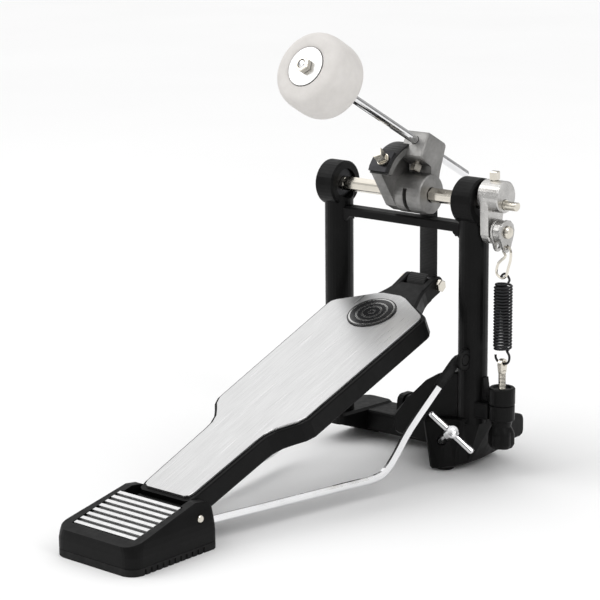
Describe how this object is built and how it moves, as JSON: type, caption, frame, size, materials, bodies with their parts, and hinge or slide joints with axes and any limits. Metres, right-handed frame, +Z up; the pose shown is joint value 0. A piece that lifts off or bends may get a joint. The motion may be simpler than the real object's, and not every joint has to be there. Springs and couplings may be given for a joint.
{
  "type": "bass drum pedal",
  "caption": "Bass drum pedal: heel-hinged footboard pulls a belt round a cam on a sprung axle, which swings a felt beater; hoop clamp at the front",
  "frame": {"origin": "middle of the footprint, on the floor plane", "axes": "+X the player's right, +Y from the heel to the drum, +Z up"},
  "size_m": [0.1738, 0.3753, 0.3178],
  "materials": {
    "black_casting": "black powder coat, satin",
    "rubber": "matt black",
    "clamp_pad": "matt tan",
    "chrome": "polished",
    "nickel": "nickel plated, bright",
    "black_wire": "blackened, lightly oiled",
    "raw_casting": "tumbled, matt",
    "brushed_aluminium": "brushed and polished",
    "belt": "black woven webbing",
    "felt": "dense off-white felt",
    "badge": "gloss black"
  },
  "bodies": {
    "frame": {"base_casting": "black_casting", "base_foot_left": "rubber", "base_foot_right_rear": "rubber", "base_foot_right_front": "rubber", "clamp_lower_pad": "clamp_pad", "clamp_jaw_pin": "nickel", "left_post": "black_casting", "right_post": "black_casting", "crossbar": "black_casting", "left_bearing": "chrome", "right_bearing": "chrome", "left_link_elbow": "rubber", "right_link_elbow": "rubber", "left_link_rod": "chrome", "right_link_rod": "chrome", "spring_bracket": "black_casting", "heel_casting": "black_casting", "heel_rubber_pad": "rubber", "heel_grip": "brushed_aluminium", "heel_hinge_pin": "nickel"},
    "axle_body": {"axle": "nickel", "hub_casting": "raw_casting", "belt_clamp_bolt": "nickel", "belt_clamp_plate": "black_wire", "belt_clamp_washer": "nickel", "belt_on_cam": "belt", "rocker": "raw_casting", "clevis_screw": "nickel"},
    "beater_screw": {"beater_clamp_screw": "nickel"},
    "rocker_screw": {"rocker_set_screw": "nickel"},
    "hub_screw": {"hub_set_screw": "black_wire"},
    "beater_rod": {"beater_shaft": "chrome"},
    "beater_head": {"beater_felt": "felt", "beater_top_washer": "nickel", "beater_low_washer": "nickel", "beater_nut": "nickel", "beater_collar": "nickel"},
    "clevis": {"clevis_inner_plate": "raw_casting", "clevis_outer_plate": "raw_casting", "clevis_bearing": "raw_casting", "spring_link": "nickel"},
    "spring_low": {"spring": "black_wire"},
    "footboard": {"footboard_casting": "black_casting", "footboard_plate": "brushed_aluminium", "toe_badge": "badge", "toe_bolt": "nickel", "toe_nut": "nickel"},
    "toe_roller": {"belt_roller": "chrome"},
    "belt_upper": {"belt_run": "belt"},
    "belt_lower": {"belt_toe_loop": "belt"},
    "knob": {"tension_knob": "black_casting"},
    "tension_bolt": {"eye_bolt": "nickel"},
    "lock_nut": {"tension_lock_nut": "black_casting"},
    "hoop_bolt": {"clamp_bolt": "chrome", "clamp_bolt_bar": "chrome"},
    "hoop_jaw": {"clamp_jaw": "black_casting", "clamp_upper_pad": "rubber"}
  },
  "joints": [
    {"name": "axle_turn", "type": "hinge", "parent": "frame", "child": "axle_body", "pos_m": [-0.011, 0.126, 0.195], "axis": [-1, 0, 0], "range_deg": [0, 62], "stiffness_Nm_per_rad": 0.5, "springref_deg": -14.32},
    {"name": "beater_height", "type": "slide", "parent": "axle_body", "child": "beater_rod", "axis": [0, -0.8805, 0.4741], "range_m": [-0.02, 0.025]},
    {"name": "beater_head_turn", "type": "hinge", "parent": "beater_rod", "child": "beater_head", "pos_m": [0.0015, 0.03454, 0.28036], "axis": [0, -0.8805, 0.4741], "continuous": true},
    {"name": "beater_screw_turn", "type": "hinge", "parent": "axle_body", "child": "beater_screw", "pos_m": [0.0015, 0.12871, 0.22534], "axis": [0, -0.4741, -0.8805], "continuous": true},
    {"name": "rocker_screw_turn", "type": "hinge", "parent": "axle_body", "child": "rocker_screw", "pos_m": [0.0666, 0.1275, 0.199], "axis": [0, 0, 1], "continuous": true},
    {"name": "hub_screw_turn", "type": "hinge", "parent": "axle_body", "child": "hub_screw", "pos_m": [0.0045, 0.134, 0.19535], "axis": [0, 0.9864, 0.1644], "continuous": true},
    {"name": "clevis_swing", "type": "hinge", "parent": "axle_body", "child": "clevis", "pos_m": [0.076, 0.126, 0.176], "axis": [-1, 0, 0], "range_deg": [-72, 0]},
    {"name": "spring_stretch", "type": "slide", "parent": "clevis", "child": "spring_low", "axis": [0, 0, -1], "range_m": [0, 0.0125], "deforming": ["spring"]},
    {"name": "board_turn", "type": "hinge", "parent": "frame", "child": "footboard", "pos_m": [-0.011, -0.1255, 0.0226], "axis": [-1, 0, 0], "range_deg": [0, 7]},
    {"name": "toe_roller_turn", "type": "hinge", "parent": "footboard", "child": "toe_roller", "pos_m": [-0.0102, 0.14534, 0.12501], "axis": [1, 0, 0], "continuous": true},
    {"name": "belt_swing", "type": "hinge", "parent": "axle_body", "child": "belt_upper", "pos_m": [-0.0102, 0.1227, 0.1995], "axis": [-1, 0, 0], "range_deg": [-66, 0], "deforming": ["belt_run"]},
    {"name": "belt_payout", "type": "slide", "parent": "belt_upper", "child": "belt_lower", "axis": [0, 0, -1], "range_m": [0, 0.032]},
    {"name": "knob_turn", "type": "hinge", "parent": "frame", "child": "knob", "pos_m": [0.076, 0.126, 0.0413], "axis": [0, 0, 1], "continuous": true},
    {"name": "tension_slide", "type": "slide", "parent": "frame", "child": "tension_bolt", "axis": [0, 0, -1], "range_m": [0, 0.0025]},
    {"name": "lock_nut_turn", "type": "hinge", "parent": "frame", "child": "lock_nut", "pos_m": [0.076, 0.126, 0.0533], "axis": [0, 0, 1], "continuous": true},
    {"name": "hoop_bolt_turn", "type": "hinge", "parent": "frame", "child": "hoop_bolt", "pos_m": [0.0546, 0.096, 0.035], "axis": [0.707, -0.523, 0.476], "range_deg": [0, 600]},
    {"name": "hoop_jaw_turn", "type": "hinge", "parent": "frame", "child": "hoop_jaw", "pos_m": [-0.011, 0.155, 0.03], "axis": [-1, 0, 0], "range_deg": [0, 10.5]}
  ],
  "couplings": [
    {"joint": "clevis_swing", "follows": "axle_turn", "ratio": -1.15},
    {"joint": "spring_stretch", "follows": "axle_turn", "m_per_rad": 0.0105},
    {"joint": "board_turn", "follows": "axle_turn", "ratio": 0.096},
    {"joint": "belt_swing", "follows": "axle_turn", "ratio": -1.0375},
    {"joint": "belt_payout", "follows": "axle_turn", "m_per_rad": 0.0284},
    {"joint": "hoop_jaw_turn", "follows": "hoop_bolt_turn", "ratio": 0.016667}
  ]
}
